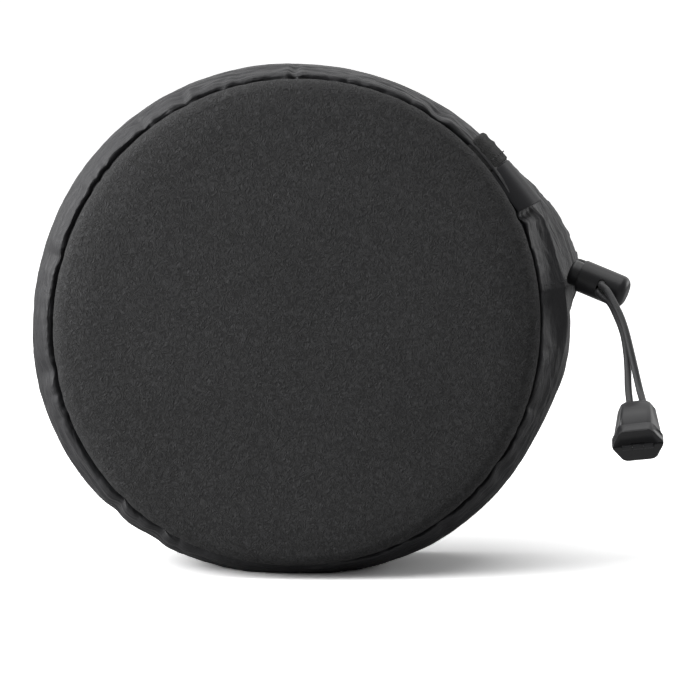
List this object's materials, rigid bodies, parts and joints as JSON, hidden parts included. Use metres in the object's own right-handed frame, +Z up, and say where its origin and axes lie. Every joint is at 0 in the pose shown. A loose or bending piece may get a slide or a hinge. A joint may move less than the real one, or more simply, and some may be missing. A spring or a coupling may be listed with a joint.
{
  "type": "slip-on lens cover",
  "caption": "Round padded fabric cover with a gathered elastic hem, a barrel cord lock and a hinged cord end, for the front of a long lens.",
  "frame": {"origin": "on the floor under the middle of the cover's own box, without the hanging cord, its lock and its end", "axes": "+Z up, the padded face looks towards -Y and a little up, the open mouth towards +Y, the cord lock is on the +X side"},
  "size_m": [0.2205, 0.0899, 0.1761],
  "materials": {
    "face_cloth": "matte",
    "wall_cloth": "satin",
    "lining": "matte",
    "foam": "matte",
    "board": "matte",
    "tape": "satin",
    "webbing": "matte",
    "label": "satin",
    "cord": "satin",
    "plastic": "satin",
    "steel": "satin"
  },
  "bodies": {
    "root": {"face_fabric": "face_cloth", "face_foam": "foam", "face_stiffener": "board", "face_lining": "lining", "seam_binding": "tape", "side_wall_upper": "wall_cloth", "side_wall_lower": "wall_cloth", "side_padding": "foam", "side_lining": "lining", "hem_tunnel": "wall_cloth", "hem_cord": "cord", "strap_anchor": "webbing", "label_tab": "label", "cord_lead_upper": "cord", "cord_lead_lower": "cord"},
    "lock": {"lock_barrel": "plastic", "lock_spring": "steel", "cord_tail_upper": "cord", "cord_tail_lower": "cord", "cord_knot": "cord", "cord_end_back": "plastic", "cord_end_pin": "steel"},
    "plunger": {"lock_plunger": "plastic"},
    "lid": {"cord_end_front": "plastic"}
  },
  "joints": [
    {"name": "lock_slide", "type": "slide", "parent": "root", "child": "lock", "axis": [1, 0, 0], "range_m": [0, 0.02], "stiffness_N_per_m": 80, "deforming": ["cord_lead_upper", "cord_lead_lower"]},
    {"name": "plunger_press", "type": "slide", "parent": "lock", "child": "plunger", "axis": [0.9112, -0.2215, -0.3474], "range_m": [0, 0.003], "stiffness_N_per_m": 500, "deforming": ["lock_spring"]},
    {"name": "cord_end_lid", "type": "hinge", "parent": "lock", "child": "lid", "pos_m": [0.11674, -0.04977, 0.05072], "axis": [0.9903, -0.0701, 0.1199], "range_deg": [0, 150]}
  ]
}
